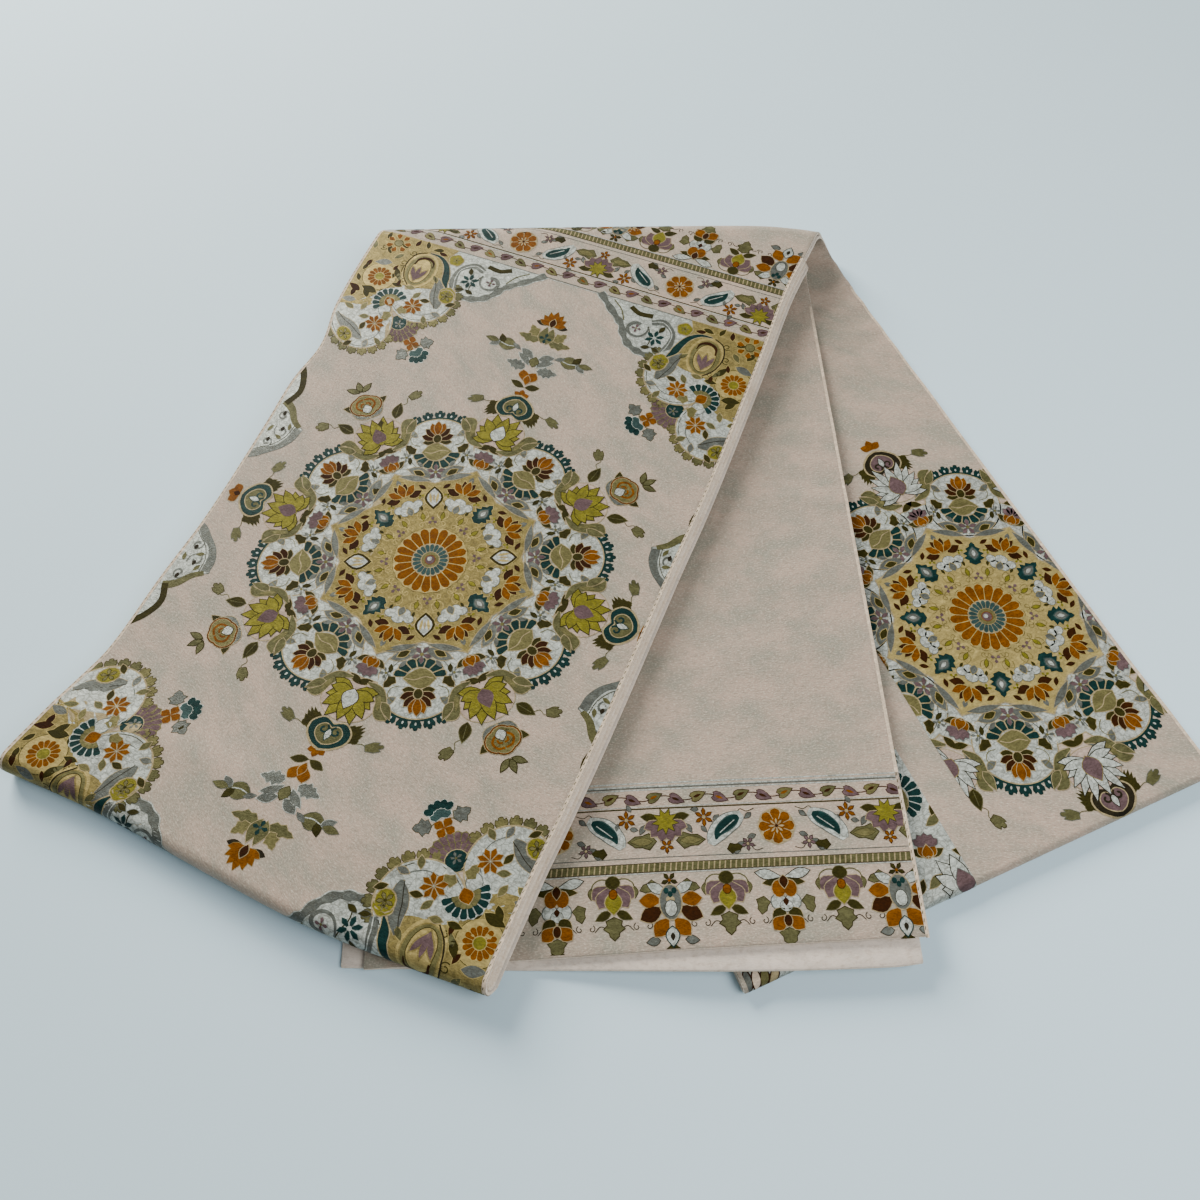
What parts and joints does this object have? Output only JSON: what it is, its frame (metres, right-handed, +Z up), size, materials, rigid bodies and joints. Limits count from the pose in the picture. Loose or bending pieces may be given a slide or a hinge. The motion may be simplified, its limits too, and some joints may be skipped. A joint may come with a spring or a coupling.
{
  "type": "obi sash",
  "caption": "Brocade obi sash folded flat and fanned out into three overlapping panels, with rolled near folds and looped far folds.",
  "frame": {"origin": "on the floor, below the middle of the folded sash's bounding box", "axes": "+X across the fan from the left panel to the right panel, +Y from the near rolls to the far loops, +Z up from the floor it lies on"},
  "size_m": [0.729, 0.5787, 0.0347],
  "materials": {
    "brocade": "silk brocade in pinkish greige with metallic and coloured medallions, borders and corner ornaments",
    "plain_cloth": "plain cream woven back"
  },
  "bodies": {
    "root": {"left_panel": "brocade", "middle_panel": "brocade", "right_panel": "brocade", "middle_under_panel": "plain_cloth", "hidden_layers": "plain_cloth"}
  },
  "joints": []
}
